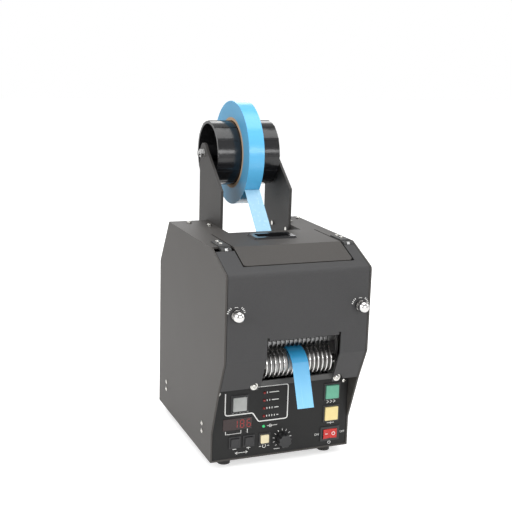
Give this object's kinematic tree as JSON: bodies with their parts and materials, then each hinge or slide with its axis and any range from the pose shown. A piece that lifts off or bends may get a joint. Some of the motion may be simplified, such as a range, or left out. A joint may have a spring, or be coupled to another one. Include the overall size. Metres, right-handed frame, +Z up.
{
  "type": "electric tape dispenser",
  "caption": "Benchtop machine that feeds and cuts tape: sheet-metal housing, hinged front cover with lock knobs, disc feed rollers, keyed control panel and a reel on side arms.",
  "frame": {"origin": "centre of the bounding box's footprint, at the underside of the rubber feet", "axes": "+Z up; -Y the front, where the tape leaves; +X to the right as seen from the front"},
  "size_m": [0.1642, 0.2842, 0.38],
  "materials": {
    "housing": "fine-texture warm dark grey powder coat",
    "cover": "fine-texture dark grey powder coat",
    "panel": "matte near-black coat with white printed marks",
    "arm": "fine-texture dark grey powder coat",
    "zinc_steel": "plain zinc-plated steel",
    "hinge": "black coated hinge leaf",
    "bright_screw": "bright nickel-plated pan heads",
    "gloss_black": "gloss black moulding",
    "black_plastic": "matte black moulding",
    "grey_cap": "light grey cap",
    "green_cap": "green cap",
    "yellow_cap": "pale yellow cap",
    "cream_cap": "cream cap",
    "black_cap": "black cap",
    "red_rocker": "red rocker",
    "display": "dark smoked window",
    "red_lamp": "dark red lens",
    "green_lamp": "green lens",
    "circuit_board": "green board",
    "rubber": "black rubber",
    "paperboard": "tan paperboard",
    "tape_roll": "sky blue wound film",
    "tape_strip": "sky blue film",
    "guide": "mid grey coat",
    "roller_steel": "bright turned steel",
    "blade": "ground steel",
    "gear": "white nylon",
    "motor": "zinc-plated can",
    "knob_chrome": "polished chrome"
  },
  "bodies": {
    "housing": {"chassis_tray": "housing", "side_panel_left": "housing", "side_panel_right": "housing", "top_plate": "housing", "reel_well": "housing", "rear_panel": "housing", "control_panel": "panel", "arm_left": "arm", "arm_right": "arm", "seam_strips": "zinc_steel", "frame_plate_left": "zinc_steel", "frame_plate_right": "zinc_steel", "hinge_pins": "zinc_steel", "lock_catches": "zinc_steel", "axle": "zinc_steel", "axle_nuts": "zinc_steel", "hinge_leaves": "hinge", "housing_screws": "bright_screw", "arm_screws": "bright_screw", "guide_screws": "bright_screw", "hinge_screws": "bright_screw", "grip_cup": "gloss_black", "power_inlet": "black_plastic", "button_housings": "black_plastic", "switch_frame": "black_plastic", "dial_base": "black_plastic", "tape_sensor": "black_plastic", "display_window": "display", "mode_lamps": "red_lamp", "memory_lamp": "green_lamp", "control_board": "circuit_board", "power_supply": "circuit_board", "rubber_feet": "rubber", "tape_run": "tape_strip", "tape_tail": "tape_strip", "guide_strip": "guide", "fixed_blade": "blade", "feed_motor": "motor", "cutter_motor": "motor"},
    "cover": {"front_cover": "cover", "cover_knuckles": "zinc_steel"},
    "lock_left": {"lock_knob_left": "knob_chrome"},
    "lock_right": {"lock_knob_right": "knob_chrome"},
    "reel": {"reel_hub": "gloss_black", "tape_core": "paperboard", "tape_roll": "tape_roll"},
    "feed": {"feed_roller": "roller_steel", "feed_gear": "gear"},
    "press": {"press_roller": "roller_steel", "press_gear": "gear"},
    "motor_drive": {"motor_pinion": "gear"},
    "cutter": {"cutter_blade": "blade"},
    "select": {"select_button": "grey_cap"},
    "advance": {"advance_button": "green_cap"},
    "cut": {"cut_button": "yellow_cap"},
    "shorter": {"shorter_button": "black_cap"},
    "longer": {"longer_button": "black_cap"},
    "reset": {"reset_button": "cream_cap"},
    "rocker": {"power_rocker": "red_rocker"},
    "dial": {"dial_knob": "black_plastic"}
  },
  "joints": [
    {"name": "cover_hinge", "type": "hinge", "parent": "housing", "child": "cover", "pos_m": [0, -0.08515, 0.2389], "axis": [-1, 0, 0], "range_deg": [0, 85]},
    {"name": "lock_turn_right", "type": "hinge", "parent": "cover", "child": "lock_right", "pos_m": [0.0694, -0.12715, 0.182], "axis": [0, 1, 0], "range_deg": [0, 90]},
    {"name": "lock_turn_left", "type": "hinge", "parent": "cover", "child": "lock_left", "pos_m": [-0.0694, -0.12715, 0.182], "axis": [0, -1, 0], "range_deg": [0, 90]},
    {"name": "reel_spin", "type": "hinge", "parent": "housing", "child": "reel", "pos_m": [0.0072, 0.08125, 0.3191], "axis": [1, 0, 0], "continuous": true},
    {"name": "feed_spin", "type": "hinge", "parent": "housing", "child": "feed", "pos_m": [0.0072, -0.10155, 0.119], "axis": [1, 0, 0], "continuous": true},
    {"name": "press_spin", "type": "hinge", "parent": "housing", "child": "press", "pos_m": [0.0072, -0.10155, 0.1415], "axis": [1, 0, 0], "continuous": true},
    {"name": "motor_spin", "type": "hinge", "parent": "housing", "child": "motor_drive", "pos_m": [-0.0441, -0.08243, 0.11108], "axis": [1, 0, 0], "continuous": true},
    {"name": "blade_slide", "type": "slide", "parent": "housing", "child": "cutter", "axis": [0, 0, -1], "range_m": [0, 0.005], "stiffness_N_per_m": 400, "springref_m": -0.002},
    {"name": "rocker_tilt", "type": "hinge", "parent": "housing", "child": "rocker", "pos_m": [0.059, -0.08925, 0.025], "axis": [0, 0, 1], "range_deg": [-8, 8]},
    {"name": "dial_turn", "type": "hinge", "parent": "housing", "child": "dial", "pos_m": [0.0015, -0.09125, 0.0265], "axis": [0, -1, 0], "range_deg": [-150, 150]},
    {"name": "select_press", "type": "slide", "parent": "housing", "child": "select", "axis": [0, 1, 0], "range_m": [0, 0.002], "stiffness_N_per_m": 300, "springref_m": -0.001},
    {"name": "advance_press", "type": "slide", "parent": "housing", "child": "advance", "axis": [0, 1, 0], "range_m": [0, 0.002], "stiffness_N_per_m": 300, "springref_m": -0.001},
    {"name": "cut_press", "type": "slide", "parent": "housing", "child": "cut", "axis": [0, 1, 0], "range_m": [0, 0.002], "stiffness_N_per_m": 300, "springref_m": -0.001},
    {"name": "shorter_press", "type": "slide", "parent": "housing", "child": "shorter", "axis": [0, 1, 0], "range_m": [0, 0.002], "stiffness_N_per_m": 300, "springref_m": -0.001},
    {"name": "longer_press", "type": "slide", "parent": "housing", "child": "longer", "axis": [0, 1, 0], "range_m": [0, 0.002], "stiffness_N_per_m": 300, "springref_m": -0.001},
    {"name": "reset_press", "type": "slide", "parent": "housing", "child": "reset", "axis": [0, 1, 0], "range_m": [0, 0.002], "stiffness_N_per_m": 300, "springref_m": -0.001}
  ],
  "couplings": [
    {"joint": "press_spin", "follows": "feed_spin", "ratio": -1.7778},
    {"joint": "motor_spin", "follows": "feed_spin", "ratio": -2.2857}
  ]
}
